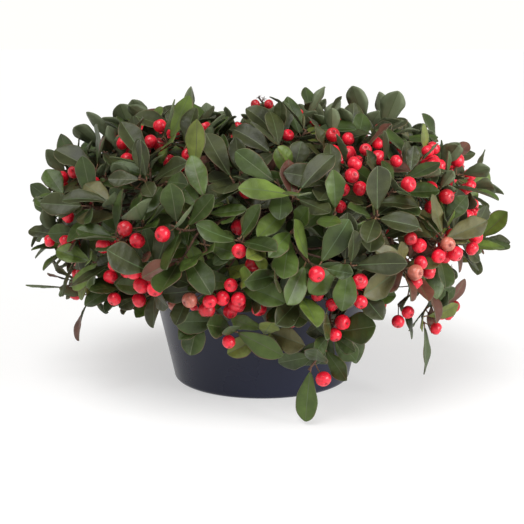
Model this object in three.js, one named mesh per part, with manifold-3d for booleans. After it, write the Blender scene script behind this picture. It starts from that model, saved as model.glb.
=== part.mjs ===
// A potted wintergreen: a low, dense, red-berried evergreen shrub that spills over a dark bowl.
// Millimetres, +Z up. The origin is the middle of the pot's flat underside. Seen from the
// front, +X is to the right and +Y is away from the viewer.
//
// Ten woody stems rise from the potting mix. Three lean apart to the top of the crown. The
// seven others stand in a ring, each with its tip in a shoulder mass and one bough that
// crosses the rim to a mass of the hanging skirt. Each mass is one stem that branches to
// twigs, and each twig ends in a rosette of leaves, many with berries hung under them.

import * as THREE from 'three';
import { mergeVertices } from 'three/addons/utils/BufferGeometryUtils.js';
import Module from 'manifold-3d';

const wasm = await Module();
wasm.setup();

const GAP = 0.3; // between pieces that meet

const POT = {
  height: 95,
  rimRadius: 92,
  rimBand: 11,
  rimEase: 1.2,
  wallTopRadius: 89,
  baseRadius: 71,
  footRound: 4,
  footSteps: 2,
  wall: 1.8,
  floor: 2.4,
  sides: 32,
};

const MIX = { top: 86, edgeDrop: 2.5, edgeBand: 14 };

// The surface that the rosettes lie on: a profile turned round the pot's axis, full at its
// shoulders, that curls in again over the pot's rim.
const CROWN = {
  offset: 3, // towards +X, from the pot's axis
  radius: 162,
  middle: 120, // height of its widest level
  up: 82, // from there to the top
  fullness: 2.7, // power of the upper curve
  down: 46, // from the widest level to the lowest
  curl: 2.2, // power of the lower curve
  hem: 116, // reach of the hem, where the lower curve ends
};
const DIP = { x: -14, depth: 17, halfWidth: 30 }; // the shallow valley between the two humps
const CORE_HEIGHT = 108; // the twigs fan out from this level of the axis

// Single sprays that hang lower than the hem: azimuth in degrees, reach and height.
const LOW_SPRAYS = [
  [-76, 131, 43],
  [-70, 138, 76],
  [-24, 141, 70],
  [40, 138, 80],
  [96, 138, 74],
  [188, 143, 82],
];

const TIPS = { count: 96, candidates: 40, inside: 3, step: 2 };
const PROFILE_PARTS = 1000; // of the curve, from which points one step apart are kept
const SEED = 21;

const RING_COUNT = 7;
const SKIRT_AZIMUTH = -64.3; // of the first skirt mass, where the lowest spray hangs
const TOP_AZIMUTHS = { front: -97, right: 23, left: 143 };

// The cones that part the top masses from the shoulder masses, and those from the skirt
// masses. Each mass of a tier has its own sector, between upright planes.
const UPPER_CONE = { reach: 97, height: 191, slope: 0.6 };
const LOWER_CONE = { reach: 113, height: 117, slope: -0.2 };

// Reach from the pot's axis and height of the places where each kind of limb starts, bends
// and enters its mass, and of the inner end of the mass's own stem.
const TOP = { foot: 12, bend: [17, 118], entry: [32, 150], heart: [56, 184], floor: UPPER_CONE };
const SHOULDER = {
  foot: 44,
  bend: [52, 114],
  entry: [74, 136],
  heart: [112, 156],
  ceiling: UPPER_CONE,
  floor: LOWER_CONE,
};
const SKIRT = { sideways: 1 / 6, bend: [84, 124], entry: [112, 108], heart: [132, 96], ceiling: LOWER_CONE };
const BOUGH_LEAVES_AT = 0.42; // share of the ring stem's length

const STEM = { foot: 2.8, tip: 2.1, flare: 1.5, flareFade: 14, sides: 6, rings: 4 };
const BOUGH = { foot: 2.1, tip: 1.9, sides: 6, rings: 4 };
const MASS_STEM = { foot: 2.1, tip: 1.7, sides: 4 };
const TWIG = { foot: 1.35, tip: 1.1, sides: 3, from: 0.3, to: 0.97 };

const LEAF = { length: 43, width: 23.5, fold: 2.4, sunk: 0.4, clear: 0.09, smallest: 0.86, largest: 1.14 };
const LEAF_OUTLINE = { shoulder: [0.36, 0.84], brow: [0.76, 0.9] }; // shares of length and width
// The leaves sit from the twig's tip down to a depth, each turned on from the one above it,
// and lean out more the lower they sit.
const ROSETTE = { count: 6, top: 0.8, depth: 14, stagger: 0.4, lean: [50, 92], turn: 137.5 };
// How much a leaf that doesn't fit is turned, raised and shortened each time it's tried again.
const RETRY = { tries: 14, swing: 14, raise: 2.5, shrink: 0.03 };
const BERRY = { radius: 6.2, reach: 13, back: 17, share: 0.5, stalk: 0.9, tries: 6, droop: 0.9, spread: 3 };

// How far the rosettes face up, from those that hang lowest to those at the top.
const TILT = { lowest: -0.75, highest: 0.42, from: 35, to: 130 };

const CLEAR = { pot: 1.6, space: 0.5, limb: 0.5, ground: 3 };

const FINISH = {
  pot: { color: 0x2f3139, roughness: 0.45 },
  mix: { color: 0x2c211a, roughness: 0.95 },
  bark: { color: 0x6f4c38, roughness: 0.8 },
  foliage: [0x3c5a34, 0x456539, 0x34502f, 0x4c6b3f].map((color) => ({ color, roughness: 0.5 })),
};

const UP = new THREE.Vector3(0, 0, 1);
const CORE = new THREE.Vector3(0, 0, CORE_HEIGHT);

// Numbers from 0 to 1 that are the same each time for one seed.
function randomSource(seed) {
  let state = seed >>> 0;
  return () => {
    state = (state + 0x6d2b79f5) >>> 0;
    let t = state;
    t = Math.imul(t ^ (t >>> 15), t | 1);
    t ^= t + Math.imul(t ^ (t >>> 7), t | 61);
    return ((t ^ (t >>> 14)) >>> 0) / 4294967296;
  };
}

const lerp = THREE.MathUtils.lerp;
const radians = THREE.MathUtils.degToRad;
const degrees = THREE.MathUtils.radToDeg;

function polar(azimuth, [reach, height]) {
  const a = radians(azimuth);
  return new THREE.Vector3(reach * Math.cos(a), reach * Math.sin(a), height);
}

function solidOf(geometry) {
  const bare = geometry.clone();
  bare.deleteAttribute('normal');
  bare.deleteAttribute('uv');
  const merged = mergeVertices(bare, 1e-5);
  return new wasm.Manifold(
    new wasm.Mesh({
      numProp: 3,
      vertProperties: merged.attributes.position.array,
      triVerts: new Uint32Array(merged.index.array),
    }),
  );
}

function geometryOf(solid) {
  const mesh = solid.getMesh();
  const geometry = new THREE.BufferGeometry();
  geometry.setAttribute('position', new THREE.BufferAttribute(mesh.vertProperties, 3));
  geometry.setIndex(new THREE.BufferAttribute(mesh.triVerts, 1));
  geometry.computeVertexNormals();
  return geometry;
}

// A named mesh whose own origin is at a point of the model, with its geometry around it.
function placed(name, geometry, origin, finish) {
  geometry.translate(-origin.x, -origin.y, -origin.z);
  const mesh = new THREE.Mesh(geometry, new THREE.MeshStandardMaterial({ metalness: 0, ...finish }));
  mesh.name = name;
  mesh.position.copy(origin);
  return mesh;
}

// A cylinder bent along a curve, with its radius given for each share of the length.
function limb(curve, radiusAt, sides, rings) {
  const frames = curve.computeFrenetFrames(rings, false);
  const geometry = new THREE.CylinderGeometry(1, 1, 1, sides, rings);
  const position = geometry.attributes.position;
  const point = new THREE.Vector3();
  for (let i = 0; i < position.count; i++) {
    const share = 0.5 + position.getY(i);
    const ring = Math.round(share * rings);
    const radius = radiusAt(share);
    curve.getPointAt(share, point);
    point.addScaledVector(frames.normals[ring], position.getX(i) * radius);
    point.addScaledVector(frames.binormals[ring], -position.getZ(i) * radius);
    position.setXYZ(i, point.x, point.y, point.z);
  }
  return geometry;
}

// The outside radius of the pot at a height, under its rim.
function potRadius(height) {
  const share = (height - POT.footRound) / (POT.height - POT.rimBand - POT.footRound);
  return lerp(POT.baseRadius, POT.wallTopRadius, THREE.MathUtils.clamp(share, 0, 1));
}

function turned(profile, sides) {
  const points = profile.map(([reach, height]) => new THREE.Vector2(reach, height));
  const geometry = new THREE.LatheGeometry(points, sides);
  geometry.rotateX(Math.PI / 2);
  return geometry;
}

function makePot() {
  const bandBottom = POT.height - POT.rimBand;
  const profile = [[0, 0]];
  for (let i = 0; i <= POT.footSteps; i++) {
    const a = ((i / POT.footSteps) * Math.PI) / 2;
    const reach = POT.baseRadius - POT.footRound * (1 - Math.sin(a));
    profile.push([reach, POT.footRound * (1 - Math.cos(a))]);
  }
  profile.push([POT.wallTopRadius, bandBottom]);
  profile.push([POT.rimRadius, bandBottom + POT.rimEase]);
  profile.push([POT.rimRadius, POT.height - POT.rimEase]);
  profile.push([POT.rimRadius - POT.rimEase, POT.height]);
  profile.push([POT.wallTopRadius - POT.wall, POT.height]);
  profile.push([potRadius(POT.footRound) - POT.wall, POT.floor + POT.footRound]);
  profile.push([POT.baseRadius - POT.footRound, POT.floor]);
  profile.push([0, POT.floor]);
  return placed('pot', turned(profile, POT.sides), new THREE.Vector3(), FINISH.pot);
}

function makeMix() {
  // The pot's inner wall, less the gap, at a height.
  const inner = (height) => {
    const foot = [POT.baseRadius - POT.wall, POT.floor + POT.footRound];
    const rim = [POT.wallTopRadius - POT.wall, POT.height];
    return lerp(foot[0], rim[0], (height - foot[1]) / (rim[1] - foot[1])) - GAP;
  };
  const bottom = POT.floor + GAP;
  const heel = POT.floor + POT.footRound + GAP;
  const edge = MIX.top - MIX.edgeDrop;
  const profile = [
    [0, bottom],
    [POT.baseRadius - POT.footRound - GAP, bottom],
    [inner(heel), heel],
    [inner(edge), edge],
    [inner(MIX.top) - MIX.edgeBand, MIX.top],
    [0, MIX.top],
  ];
  return placed('potting_mix', turned(profile, POT.sides), new THREE.Vector3(), FINISH.mix);
}

// The crown's profile from its top to its hem, as points that are one step apart.
function profileLine() {
  const line = [];
  const hemAngle = Math.acos((CROWN.hem / CROWN.radius) ** (CROWN.curl / 2));
  let last = [0, CROWN.middle + CROWN.up];
  for (let i = 0; i <= PROFILE_PARTS; i++) {
    const a = lerp(Math.PI / 2, -hemAngle, i / PROFILE_PARTS);
    const power = 2 / (a > 0 ? CROWN.fullness : CROWN.curl);
    const rise = a > 0 ? CROWN.up * Math.sin(a) ** power : -CROWN.down * Math.sin(-a) ** power;
    const point = [CROWN.radius * Math.cos(a) ** power, CROWN.middle + rise];
    if (Math.hypot(point[0] - last[0], point[1] - last[1]) < TIPS.step) continue;
    line.push(point);
    last = point;
  }
  return line;
}

// A point at random on the crown's surface, as likely in one place as in another.
function crownPoint(line, random) {
  const [reach, height] = line[Math.floor(line.length * random())];
  const point = polar(360 * random(), [reach, height]);
  point.x += CROWN.offset;
  if (height > CROWN.middle) point.z -= DIP.depth * Math.exp(-(((point.x - DIP.x) / DIP.halfWidth) ** 2));
  return CROWN.radius * random() < reach ? point : crownPoint(line, random);
}

// Shares out the tips of all twigs, each as far from those before it as some tries allow and
// well inside the space of its own mass.
function addTips(masses) {
  const random = randomSource(SEED);
  const line = profileLine();
  const tips = LOW_SPRAYS.map(([azimuth, reach, height]) => polar(azimuth, [reach, height]));
  while (tips.length < TIPS.count) {
    let best = null;
    let widest = 0;
    for (let i = 0; i < TIPS.candidates; i++) {
      const point = crownPoint(line, random);
      const apart = Math.min(...tips.map((tip) => tip.distanceTo(point)));
      if (apart < widest || depthInSpace(point, massAt(point, masses)) < TIPS.inside) continue;
      best = point;
      widest = apart;
    }
    tips.push(best);
  }
  for (const tip of tips) massAt(tip, masses).tips.push(tip);
}

function massAt(point, masses) {
  const depths = masses.map((mass) => depthInSpace(point, mass));
  return masses[depths.indexOf(Math.max(...depths))];
}

// How far a point lies inside a mass's space.
function depthInSpace(point, { azimuth, sector, place }) {
  const reach = Math.hypot(point.x, point.y);
  const turn = turnBetween(degrees(Math.atan2(point.y, point.x)), azimuth);
  const inSector = reach * Math.sin(radians(Math.max(-90, sector / 2 - turn)));
  const overFloor = place.floor ? heightOver(place.floor, reach, point.z) : Infinity;
  const underCeiling = place.ceiling ? -heightOver(place.ceiling, reach, point.z) : Infinity;
  return Math.min(inSector, overFloor, underCeiling);
}

// The angle from one azimuth to another, at most 180 degrees.
function turnBetween(a, b) {
  return Math.abs(THREE.MathUtils.euclideanModulo(a - b + 180, 360) - 180);
}

// How far above a cone's surface a point lies, square to it.
function heightOver({ reach, height, slope }, pointReach, pointHeight) {
  return (pointHeight - height - slope * (pointReach - reach)) / Math.hypot(1, slope);
}

// Where a mass's own stem starts, so that the edge of its end stays clear of the limb's tip.
function stemStart(limbTip, tangent, heart) {
  const turn = tangent.angleTo(heart.clone().sub(limbTip));
  return limbTip.clone().addScaledVector(tangent, GAP + MASS_STEM.foot * Math.sin(turn));
}

function curveThrough(start, bend, end) {
  return new THREE.QuadraticBezierCurve3(start, bend, end);
}

// The limbs and masses of the whole plant.
function planPlant() {
  const stems = [];
  const boughs = [];
  const masses = [];
  const addStem = (name, azimuth, place) => {
    const foot = polar(azimuth, [place.foot, MIX.top + GAP]);
    const curve = curveThrough(foot, polar(azimuth, place.bend), polar(azimuth, place.entry));
    stems.push({ name, curve });
    return curve;
  };
  const addMass = (name, azimuth, sector, place, limbCurve) => {
    const heart = polar(azimuth, place.heart);
    const entry = stemStart(limbCurve.getPoint(1), limbCurve.getTangent(1), heart);
    masses.push({ name, azimuth, sector, place, entry, heart, tips: [] });
  };
  const third = 360 / Object.keys(TOP_AZIMUTHS).length;
  for (const [side, azimuth] of Object.entries(TOP_AZIMUTHS)) {
    addMass(`foliage_top_${side}`, azimuth, third, TOP, addStem(`stem_top_${side}`, azimuth, TOP));
  }
  const sector = 360 / RING_COUNT;
  for (let i = 0; i < RING_COUNT; i++) {
    const skirtAzimuth = SKIRT_AZIMUTH + sector * i;
    const stemAzimuth = skirtAzimuth + sector / 2;
    const stem = addStem(`stem_${i + 1}`, stemAzimuth, SHOULDER);
    const bend = polar(skirtAzimuth + sector * SKIRT.sideways, SKIRT.bend);
    const bough = curveThrough(stem.getPointAt(BOUGH_LEAVES_AT), bend, polar(skirtAzimuth, SKIRT.entry));
    boughs.push({ name: `bough_${i + 1}`, curve: bough, parent: stem });
    addMass(`foliage_shoulder_${i + 1}`, stemAzimuth, sector, SHOULDER, stem);
    addMass(`foliage_skirt_${i + 1}`, skirtAzimuth, sector, SKIRT, bough);
  }
  addTips(masses);
  return { stems, boughs, masses };
}

// A ring stem or a stem to the top, and a bough, each made thicker all round where that's asked.
function stemSolid(curve, by = 0) {
  const flare = (share) => STEM.flare * Math.exp(-STEM.flareFade * share);
  const radiusAt = (share) => lerp(STEM.foot, STEM.tip, share) + flare(share) + by;
  return solidOf(limb(curve, radiusAt, STEM.sides, STEM.rings));
}

function boughSolid(curve, by = 0) {
  const radiusAt = (share) => lerp(BOUGH.foot, BOUGH.tip, share) + by;
  return solidOf(limb(curve, radiusAt, BOUGH.sides, BOUGH.rings));
}

// Everything at and below the level of the stems' feet.
function groundBlock() {
  const size = 2 * POT.rimRadius;
  const block = new THREE.BoxGeometry(size, size, MIX.top + GAP);
  block.translate(0, 0, (MIX.top + GAP) / 2);
  return solidOf(block);
}

// A stem's foot is cut flat, level with the potting mix.
function makeStem({ name, curve }) {
  const body = stemSolid(curve).subtract(groundBlock());
  return placed(name, geometryOf(body), curve.getPoint(0), FINISH.bark);
}

// A bough leaves the side of its stem, cut to the stem's round surface with a gap.
function makeBough({ name, curve, parent }) {
  const body = largest(boughSolid(curve).subtract(stemSolid(parent, GAP)));
  return placed(name, geometryOf(body), curve.getPoint(0), FINISH.bark);
}

function largest(solid) {
  const bodies = solid.decompose();
  return bodies.reduce((best, body) => (body.volume() > best.volume() ? body : best));
}

function clearOfPot(point, margin) {
  if (point.z > POT.height + margin) return true;
  const inBand = point.z > POT.height - POT.rimBand - margin;
  return Math.hypot(point.x, point.y) > (inBand ? POT.rimRadius : potRadius(point.z)) + margin;
}

// Says whether a piece's points, each with a radius round it, all lie in a mass's own space.
function keepsTo(mass) {
  return (points, radius = 0) =>
    points.every(
      (point) =>
        point.z > CLEAR.ground + radius &&
        clearOfPot(point, CLEAR.pot + radius) &&
        depthInSpace(point, mass) > CLEAR.space + radius,
    );
}

const touches = (solid, others) => others.some((other) => !solid.intersect(other).isEmpty());

// Puts a solid made at the origin where its own Z and X axes are to lie, drawn out by a scale.
function placement(origin, zAxis, xAxis, scale = new THREE.Vector3(1, 1, 1)) {
  const yAxis = new THREE.Vector3().crossVectors(zAxis, xAxis);
  return new THREE.Matrix4().makeBasis(xAxis, yAxis, zAxis).scale(scale).setPosition(origin);
}

function anyAcross(axis) {
  return new THREE.Vector3(-axis.y, axis.x, 0.1).cross(axis).normalize();
}

// A tapering rod with few sides, one unit long, that starts at the origin and runs along +Z.
function unitRod({ foot, tip, sides }) {
  const rod = new THREE.CylinderGeometry(tip, foot, 1, sides);
  rod.rotateX(Math.PI / 2);
  rod.translate(0, 0, 0.5);
  return solidOf(rod);
}

function rodBetween(rod, start, end) {
  const way = end.clone().sub(start);
  const length = way.length();
  const scale = new THREE.Vector3(1, 1, length);
  return rod.transform(placement(start, way.normalize(), anyAcross(way), scale).elements);
}

// A leaf along +X as six points: its base and tip, and two points of each edge, which the
// fold lifts towards +Z.
function leafPoints() {
  const half = LEAF.width / 2;
  const at = ([run, out], way) => new THREE.Vector3(run * LEAF.length, way * out * half, out * LEAF.fold);
  const { shoulder, brow } = LEAF_OUTLINE;
  return [at([0, 0], 0), at(shoulder, -1), at(brow, -1), at([1, 0], 0), at(brow, 1), at(shoulder, 1)];
}

// Eight faces: the lower ones meet along the midrib, and the upper ones span the fold.
const LEAF_FACES = [0, 3, 1, 1, 3, 2, 0, 5, 3, 5, 4, 3, 0, 1, 5, 1, 4, 5, 1, 2, 4, 2, 3, 4];

function leafSolid(points) {
  const geometry = new THREE.BufferGeometry().setFromPoints(points);
  geometry.setIndex(LEAF_FACES);
  return solidOf(geometry);
}

// One leaf's solid, the same without its root, and the points that are tested for room.
function makeLeafKit() {
  const points = leafPoints();
  const cut = points[0].clone().lerp(points[3], LEAF.clear);
  const middles = points.map((point, i) => point.clone().lerp(points[(i + 1) % points.length], 0.5));
  const spots = [...points.slice(1), ...middles, points[0].clone().lerp(points[3], 0.5)];
  return { whole: leafSolid(points), blade: leafSolid([cut, ...points.slice(1)]), spots };
}

const LEAF_KIT = makeLeafKit();

// The leaves of one rosette, spiralling down its twig. A leaf that doesn't fit is turned,
// raised and shortened a few times, and then left out.
function rosetteLeaves({ tip, start, axis }, fits, obstacles, random) {
  const leaves = [];
  const first = anyAcross(axis);
  const heading = 360 * random();
  for (let i = 0; i < ROSETTE.count; i++) {
    const size = lerp(LEAF.smallest, LEAF.largest, random());
    const share = (i + ROSETTE.stagger * random()) / (ROSETTE.count - 1 + ROSETTE.stagger);
    const base = tip.clone().lerp(start, (ROSETTE.top + ROSETTE.depth * share) / tip.distanceTo(start));
    for (let attempt = 0; attempt < RETRY.tries; attempt++) {
      const swing = (attempt % 2 ? 1 : -1) * Math.ceil(attempt / 2) * RETRY.swing;
      const lean = radians(lerp(ROSETTE.lean[0], ROSETTE.lean[1], share) - RETRY.raise * attempt);
      const away = first.clone().applyAxisAngle(axis, radians(heading + ROSETTE.turn * i + swing));
      const along = axis.clone().multiplyScalar(Math.cos(lean)).addScaledVector(away, Math.sin(lean));
      const facing = axis.clone().multiplyScalar(Math.sin(lean)).addScaledVector(away, -Math.cos(lean));
      const root = base.clone().addScaledVector(along, -LEAF.sunk);
      const scale = new THREE.Vector3().setScalar(size * (1 - RETRY.shrink * attempt));
      const matrix = placement(root, facing, along, scale);
      if (!fits(LEAF_KIT.spots.map((spot) => spot.clone().applyMatrix4(matrix)))) continue;
      const blade = LEAF_KIT.blade.transform(matrix.elements);
      if (touches(blade, obstacles)) continue;
      leaves.push(LEAF_KIT.whole.transform(matrix.elements));
      obstacles.push(blade);
      break;
    }
  }
  return leaves;
}

// A berry at the end of its stalk, which runs along +Z.
function makeBerryKit() {
  const ball = new THREE.IcosahedronGeometry(BERRY.radius, 0);
  ball.translate(0, 0, BERRY.reach);
  const berry = solidOf(ball);
  const stalk = unitRod({ foot: BERRY.stalk, tip: BERRY.stalk, sides: 3 });
  return { berry, whole: berry.add(stalk.scale([1, 1, BERRY.reach])) };
}

const BERRY_KIT = makeBerryKit();
const TWIG_ROD = unitRod(TWIG);
const MASS_STEM_ROD = unitRod(MASS_STEM);

// One berry on a short stalk that hangs from the twig, where there is room for it.
function berryBelow({ tip, start, outward }, fits, obstacles, random) {
  const base = tip.clone().lerp(start, BERRY.back / tip.distanceTo(start));
  const aside = new THREE.Vector3().crossVectors(outward, UP).normalize();
  for (let attempt = 0; attempt < BERRY.tries; attempt++) {
    const way = outward.clone().addScaledVector(UP, -BERRY.droop * random());
    way.addScaledVector(aside, BERRY.spread * (random() - 0.5)).normalize();
    if (!fits([base.clone().addScaledVector(way, BERRY.reach)], BERRY.radius)) continue;
    const matrix = placement(base, way, anyAcross(way)).elements;
    const berry = BERRY_KIT.berry.transform(matrix);
    if (touches(berry, obstacles)) continue;
    obstacles.push(berry);
    return [BERRY_KIT.whole.transform(matrix)];
  }
  return [];
}

// The twigs of a mass, those with the nearest tips first along its stem.
function massTwigs({ tips, entry, heart }) {
  const sorted = [...tips].sort((a, b) => a.distanceTo(entry) - b.distanceTo(entry));
  return sorted.map((tip, i) => {
    const outward = tip.clone().sub(CORE).normalize();
    const rise = THREE.MathUtils.clamp((tip.z - TILT.from) / (TILT.to - TILT.from), 0, 1);
    const axis = outward.clone().addScaledVector(UP, lerp(TILT.lowest, TILT.highest, rise)).normalize();
    const start = entry.clone().lerp(heart, lerp(TWIG.from, TWIG.to, (i + 1) / tips.length));
    return { tip, outward, axis, start, solid: rodBetween(TWIG_ROD, start, tip) };
  });
}

function makeMass(mass, index, limbs) {
  const random = randomSource(SEED + 1 + index);
  const fits = keepsTo(mass);
  const twigs = massTwigs(mass).filter((twig) => !touches(twig.solid, [limbs]));
  const pieces = [rodBetween(MASS_STEM_ROD, mass.entry, mass.heart), ...twigs.map((twig) => twig.solid)];
  const obstacles = [limbs, ...pieces];
  for (const twig of twigs) {
    pieces.push(...rosetteLeaves(twig, fits, obstacles, random));
    if (random() < BERRY.share) pieces.push(...berryBelow(twig, fits, obstacles, random));
  }
  const body = largest(wasm.Manifold.union(pieces));
  const finish = FINISH.foliage[index % FINISH.foliage.length];
  return placed(mass.name, geometryOf(body), mass.entry, finish);
}

function makePlant() {
  const { stems, boughs, masses } = planPlant();
  const limbs = wasm.Manifold.union([
    ...stems.map(({ curve }) => stemSolid(curve, CLEAR.limb)),
    ...boughs.map(({ curve }) => boughSolid(curve, CLEAR.limb)),
  ]);
  const plant = new THREE.Group();
  plant.add(...stems.map(makeStem));
  plant.add(...boughs.map(makeBough));
  plant.add(...masses.map((mass, index) => makeMass(mass, index, limbs)));
  return plant;
}

const wintergreen = new THREE.Group();
wintergreen.add(makePot(), makeMix(), makePlant());

export default wintergreen;
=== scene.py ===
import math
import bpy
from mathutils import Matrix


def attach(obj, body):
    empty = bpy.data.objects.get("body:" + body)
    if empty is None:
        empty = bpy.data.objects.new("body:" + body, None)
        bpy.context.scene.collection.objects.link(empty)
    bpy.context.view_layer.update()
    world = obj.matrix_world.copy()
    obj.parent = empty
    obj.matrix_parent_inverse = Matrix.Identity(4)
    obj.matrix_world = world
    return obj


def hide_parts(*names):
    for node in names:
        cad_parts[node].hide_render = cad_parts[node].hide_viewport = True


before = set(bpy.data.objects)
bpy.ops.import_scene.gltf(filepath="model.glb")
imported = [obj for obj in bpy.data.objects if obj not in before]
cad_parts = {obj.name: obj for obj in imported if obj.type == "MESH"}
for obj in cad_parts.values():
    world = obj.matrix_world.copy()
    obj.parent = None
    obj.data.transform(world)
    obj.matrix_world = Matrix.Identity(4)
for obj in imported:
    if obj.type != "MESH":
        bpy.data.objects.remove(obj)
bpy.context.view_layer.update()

# A potted wintergreen: a low, dense, red-berried evergreen shrub in a dark bowl. The crown grows
# by the rule of the part's own source, written again here and carried on to finer twigs. All is
# planned in millimetres, with +Z up and the front towards -Y, and meshes are made in metres.

from types import SimpleNamespace as Sizes

import bpy
import numpy as np
from mathutils import Vector, noise
from mathutils.bvhtree import BVHTree

MM = 0.001
UP = np.array([0, 0, 1.0])

POT = Sizes(
    height=95, rim_radius=92, rim_band=11, rim_ease=1.2, wall_top_radius=89, base_radius=71,
    foot_round=4, wall=1.8, floor=2.4, recess=1.2, stand=5, wall_rows=(0.25, 0.5, 0.75, 0.97, 1),
    sides=192, sharp_from=40, clear=1.2,
)
MIX = Sizes(
    top=86, edge_drop=2.5, edge_band=14, gap=0.4, foot_rise=5, body_to=0.86, edge_at=0.88, rings=34,
    sides=120, crumb=1.6, crumb_scale=0.09, crumb_fade=0.6, octaves=5, sink=0.6,
)

# The crown's profile, its shallow valley, and the sprays that hang lower than its hem.
CROWN = Sizes(offset=3, radius=162, middle=120, up=82, fullness=2.7, down=46, curl=2.2, hem=116)
DIP = Sizes(x=-14, depth=17, half_width=30)
CORE = np.array([0.0, 0.0, 108.0])
LOW_SPRAYS = [
    (-76, 131, 43), (-70, 138, 76), (-24, 141, 70), (40, 138, 80), (96, 138, 74), (188, 143, 82),
]
TIPS = Sizes(count=96, candidates=40, inside=3, step=2, profile_parts=1000)
SEED = 21
DRESS_SEED = 19

# Where the limbs stand and bend, as reach from the pot's axis and height.
GAP = 0.3
RING_COUNT = 7
SKIRT_AZIMUTH = -64.3
TOP_AZIMUTHS = {"front": -97, "right": 23, "left": 143}
UPPER_CONE = Sizes(reach=97, height=191, slope=0.6)
LOWER_CONE = Sizes(reach=113, height=117, slope=-0.2)
TOP = Sizes(foot=12, bend=(17, 118), entry=(32, 150), heart=(56, 184), floor=UPPER_CONE, ceiling=None)
SHOULDER = Sizes(
    foot=44, bend=(52, 114), entry=(74, 136), heart=(112, 156), floor=LOWER_CONE, ceiling=UPPER_CONE,
)
SKIRT = Sizes(
    sideways=1 / 6, bend=(84, 124), entry=(112, 108), heart=(132, 96), floor=None, ceiling=LOWER_CONE,
)
BOUGH_LEAVES_AT = 0.42
STEM = Sizes(foot=2.8, tip=2.1, flare=1.5, flare_fade=14, parts=100)
BOUGH = Sizes(foot=2.1, tip=1.9, flare=0, flare_fade=14)
# A limb's mesh, the ridges of its bark and the rings where old leaves stood.
LIMB = Sizes(
    sides=18, rings=64, scale=0.55, ridge=0.16, ridge_across=2.2, ridge_along=0.6, node=0.1,
    node_turn=0.9, node_drift=0.11, node_sharp=6,
)
CURVE_POINTS = 200
# A way that no tube runs along.
SKEW = np.array([0.31, 0.17, 0.93])

# How the crown is carried on: more tips on its surface and some inside it.
FINE = Sizes(
    surface=240, inner=125, inner_depth=(0.56, 0.86), inside=-6, on=(-12, 2), main_on=5, sway=1.1,
    sway_up=0.32, young=0.12, proud=(4, 12), proud_chance=0.25,
)
# Where twigs fork, how they leave and arrive, and their meshes.
TWIG = Sizes(
    first=0.3, last=0.97, forks=(0.35, 0.5, 0.65), stem_fork=0.6, main_pull=1.5, pull=1.2,
    leave=0.33, arrive=0.36, checks=30, rings=10, sides=6, room=0.8, room_rings=7,
)
# What each kind of twig has: its radii at both ends, its chance of berries and its leaves.
KINDS = {
    "main": Sizes(radii=(1.25, 0.85), fruiting=0.64, leaves=6),
    "fine": Sizes(radii=(0.95, 0.7), fruiting=0.33, leaves=6),
    "inner": Sizes(radii=(0.95, 0.7), fruiting=0.1, leaves=5),
    "bare": Sizes(radii=(0.6, 0.35), fruiting=0.2, leaves=0),
    "sprig": Sizes(radii=(0.75, 0.4), fruiting=1, leaves=0),
}
ROSETTE = Sizes(
    top=0.8, depth=15, stagger=0.4, lean=(48, 94), turn=137.5, to_light=0.7, light_rise=0.6,
)
RETRY = Sizes(tries=12, swing=12, raise_by=2.5, shrink=0.02)
TILT = Sizes(lowest=-0.75, highest=0.42, start=35, end=130)

LEAF = Sizes(
    length=(19, 37), mostly_long=0.6, slimness=(0.44, 0.64), thickness=0.42, rib=0.42, margin=0.93,
    blunt=1.15, round=0.8, uneven=0.035, side_shift=0.4, pucker=0.32, vein=0.3, slant=0.075,
    taper_from=0.55, least=0.01,
)
# What else is drawn for each leaf, in this order, with its lowest and highest value.
LEAF_FORM = Sizes(
    fold=(0.02, 0.34), bend=(-0.35, 0.6), roll=(-0.4, 0.4), taper=(-0.2, 0.3), fullness=(0, 0.14),
    wave=(0.2, 1.2), waves=(0.9, 1.8), phase=(0, 1), twist=(-0.45, 0.45), petiole=(2.5, 4.5),
)
# The rows and columns of a blade's mesh, as shares of its length and half width, and its relief.
BLADE = Sizes(
    base_row=0.02, inner=(0.07, 0.93), inner_rows=15, tip_rows=(0.975, 0.995), vein_every=3,
    halfway=0.5, usual_half_width=9.5, rib_most=0.3, rib_end=0.45, margin_lift=0.8,
    margin_relief=0.3, rib_lift=0.6, under_relief=0.5, under_rib=0.35,
)
ROUGH_ROWS = [0.04, 0.3, 0.6, 0.85, 0.97]
# deep is the share of berries that take the darker red, which is painted shade.
BERRY = Sizes(
    radius=(4.5, 5.9), stalk=(6, 9.5), back=(3, 11), most=4, mostly_few=1.2, window=19,
    uneven=(0.93, 1.03), droop=0.9, aside=1.6, spread=0.9, more_spread=0.05, upward=0.6, tries=10,
    sure_tries=50, deep=0.18, pale=0.1, rough=1.3,
)
# One berry's ball, and the dry star at its far end with each lobe's corners as turn, reach, height.
BALL = Sizes(sides=15, rings=10, flat=0.96, dimple=0.3, low_power=6, lobes=5, lobe=0.045, lobe_fade=0.3)
STAR = Sizes(
    lobes=5, depth=0.72, corners=((-0.42, 0.13, -0.82), (0, 0.29, -0.93), (0.42, 0.13, -0.82)),
)
# The sprigs with small berries that rise from the crown's valley, open to the front.
SPRIG = Sizes(
    berries=2, droop=1.8, berry_size=0.75, outlook=np.array([0, -1.0, 0]), radius=3.7, before=3,
    apart=5.2, lifts=(-1.5, 0, 1.5, 3), from_tip=0.95,
)
MASS_STEM = Sizes(radii=(2.1, 1.5), rings=12, sides=8, bend=0.4)
STALK = Sizes(leaf_radii=(0.75, 0.55, 0.5), berry_radius=0.42, sides=5, rings=6, sag=0.8, into=0.8)
BARK_SLOT, STALK_SLOT, YOUNG_SLOT = 0, 1, 2
LEAF_OWNER, BERRY_OWNER = "leaf", "berry"

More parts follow.
